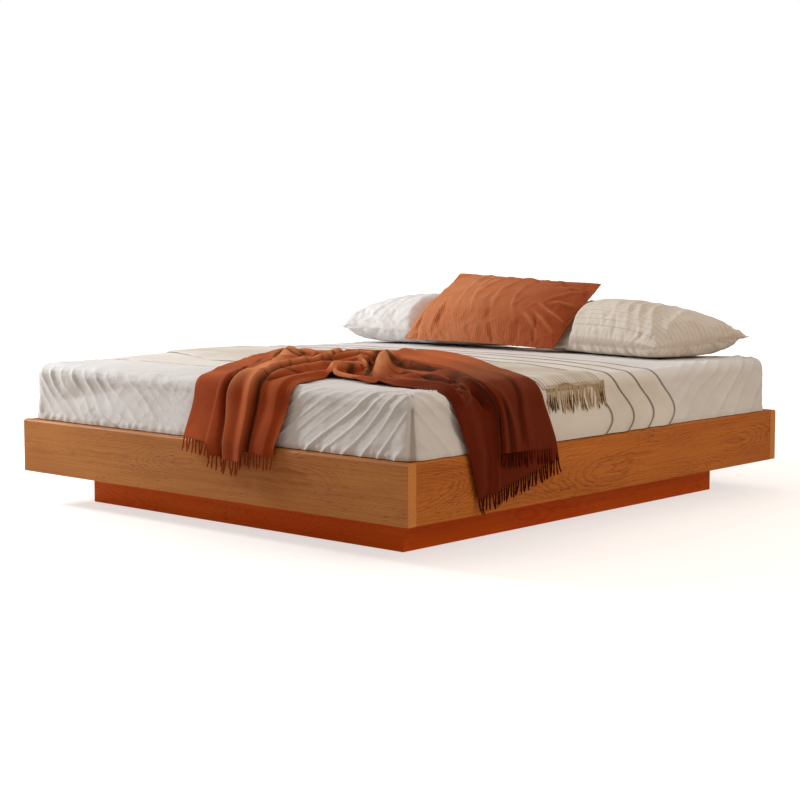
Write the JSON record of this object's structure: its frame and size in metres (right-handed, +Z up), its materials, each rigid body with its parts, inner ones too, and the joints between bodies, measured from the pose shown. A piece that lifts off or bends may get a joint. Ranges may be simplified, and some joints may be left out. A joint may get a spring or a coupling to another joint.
{
  "type": "storage bed",
  "caption": "Low double bed on an inset plinth, with storage under a slatted deck that lifts on head hinges and gas struts, made up with mattress, cover, throws, pillows and cushion.",
  "frame": {"origin": "middle of the frame's footprint on the floor", "axes": "X to the right seen from the foot, Y from the foot to the head, Z up"},
  "size_m": [1.8939, 2.1496, 0.8237],
  "materials": {
    "rail_wood": "oiled cherry-toned veneer with open grain",
    "plinth_wood": "oiled, deep orange-red",
    "panel_wood": "unfinished plywood and pine",
    "slat_wood": "laminated beech",
    "deck_steel": "black powder coat",
    "zinc_steel": "zinc plated",
    "strut_black": "satin black",
    "strut_chrome": "polished rod",
    "holder_plastic": "moulded",
    "bumper_rubber": "soft",
    "webbing": "woven",
    "mattress_cloth": "knitted cover",
    "sheet_cotton": "washed cotton",
    "coverlet_cotton": "soft cotton",
    "cream_wool": "woven wool",
    "rust_wool": "soft brushed wool",
    "pillow_cotton": "washed cotton",
    "rust_corduroy": "fine ribbed corduroy"
  },
  "bodies": {
    "base": {"centre_spine": "panel_wood", "corner_bolts": "zinc_steel", "corner_posts": "panel_wood", "cross_divider_foot": "panel_wood", "cross_divider_head": "panel_wood", "deck_bumpers": "bumper_rubber", "end_ledgers": "panel_wood", "floor_battens": "panel_wood", "floor_panel_left": "panel_wood", "floor_panel_right": "panel_wood", "foot_rail": "rail_wood", "frame_screws": "zinc_steel", "head_rail": "rail_wood", "hinge_fixed_leaves": "zinc_steel", "hinge_pins": "zinc_steel", "left_side_rail": "rail_wood", "plinth_foot_board": "plinth_wood", "plinth_glue_blocks": "panel_wood", "plinth_head_board": "plinth_wood", "plinth_left_board": "plinth_wood", "plinth_right_board": "plinth_wood", "rail_angles": "zinc_steel", "right_side_rail": "rail_wood", "side_ledgers": "panel_wood", "soffit_foot": "panel_wood", "soffit_head": "panel_wood", "soffit_left": "panel_wood", "soffit_right": "panel_wood", "strut_base_brackets": "strut_black", "strut_base_clips": "zinc_steel"},
    "deck": {"coverlet": "coverlet_cotton", "cream_throw": "cream_wool", "cream_throw_fringe": "cream_wool", "deck_centre_tube": "deck_steel", "deck_foot_tube": "deck_steel", "deck_head_tube": "deck_steel", "deck_inner_tube_left": "deck_steel", "deck_inner_tube_right": "deck_steel", "deck_side_tube_left": "deck_steel", "deck_side_tube_right": "deck_steel", "fitted_sheet": "sheet_cotton", "hinge_moving_leaves": "zinc_steel", "lumbar_cushion": "rust_corduroy", "mattress": "mattress_cloth", "pillow_left": "pillow_cotton", "pillow_right": "pillow_cotton", "pull_tabs": "webbing", "rust_throw": "rust_wool", "rust_throw_fringe": "rust_wool", "slat_holders": "holder_plastic", "slats_left": "slat_wood", "slats_right": "slat_wood", "strut_deck_brackets": "strut_black", "strut_deck_clips": "zinc_steel", "tube_caps": "holder_plastic"},
    "strut_cylinder_left": {"strut_cylinder_left": "strut_black"},
    "strut_cylinder_right": {"strut_cylinder_right": "strut_black"},
    "strut_rod_left": {"strut_rod_left": "strut_chrome"},
    "strut_rod_right": {"strut_rod_right": "strut_chrome"}
  },
  "joints": [
    {"name": "deck_lift", "type": "hinge", "parent": "base", "child": "deck", "pos_m": [0, 1.018, 0.285], "axis": [-1, 0, 0], "range_deg": [0, 30]},
    {"name": "strut_cylinder_left_pivot", "type": "hinge", "parent": "base", "child": "strut_cylinder_left", "pos_m": [-0.705, 0.838, 0.045], "axis": [-1, 0, 0], "range_deg": [0, 15]},
    {"name": "strut_rod_left_pivot", "type": "hinge", "parent": "deck", "child": "strut_rod_left", "pos_m": [-0.705, 0.72886, 0.205], "axis": [-1, 0, 0], "range_deg": [-15, 0]},
    {"name": "strut_cylinder_right_pivot", "type": "hinge", "parent": "base", "child": "strut_cylinder_right", "pos_m": [0.705, 0.838, 0.045], "axis": [-1, 0, 0], "range_deg": [0, 15]},
    {"name": "strut_rod_right_pivot", "type": "hinge", "parent": "deck", "child": "strut_rod_right", "pos_m": [0.705, 0.72886, 0.205], "axis": [-1, 0, 0], "range_deg": [-15, 0]}
  ],
  "couplings": [
    {"joint": "strut_cylinder_left_pivot", "follows": "deck_lift", "ratio": 0.5},
    {"joint": "strut_rod_left_pivot", "follows": "deck_lift", "ratio": -0.5},
    {"joint": "strut_cylinder_right_pivot", "follows": "deck_lift", "ratio": 0.5},
    {"joint": "strut_rod_right_pivot", "follows": "deck_lift", "ratio": -0.5}
  ]
}
